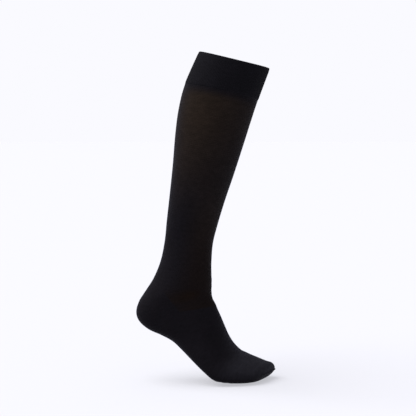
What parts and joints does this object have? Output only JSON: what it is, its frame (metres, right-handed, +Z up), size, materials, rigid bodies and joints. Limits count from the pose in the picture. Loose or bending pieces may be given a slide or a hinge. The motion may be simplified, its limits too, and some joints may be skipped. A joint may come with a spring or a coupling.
{
  "type": "compression stocking",
  "caption": "Knee-high compression stocking in its worn form: a hollow knitted tube with a turned top band, a heel pocket and a closed toe, the heel raised.",
  "frame": {"origin": "middle of the hollow of the top band, where the wearer's calf holds the stocking up", "axes": "+X towards the toes, +Y towards the wearer's other leg, +Z up"},
  "size_m": [0.2119, 0.108, 0.4962],
  "materials": {
    "band_knit": "matte, finely ribbed knit",
    "leg_knit": "satin, fine plain knit",
    "foot_knit": "satin, fine plain knit",
    "spliced_knit": "matte, thicker plain knit"
  },
  "bodies": {
    "root": {"top_band": "band_knit", "leg": "leg_knit", "heel_pocket": "spliced_knit", "foot": "foot_knit", "toe_cap": "spliced_knit"}
  },
  "joints": []
}
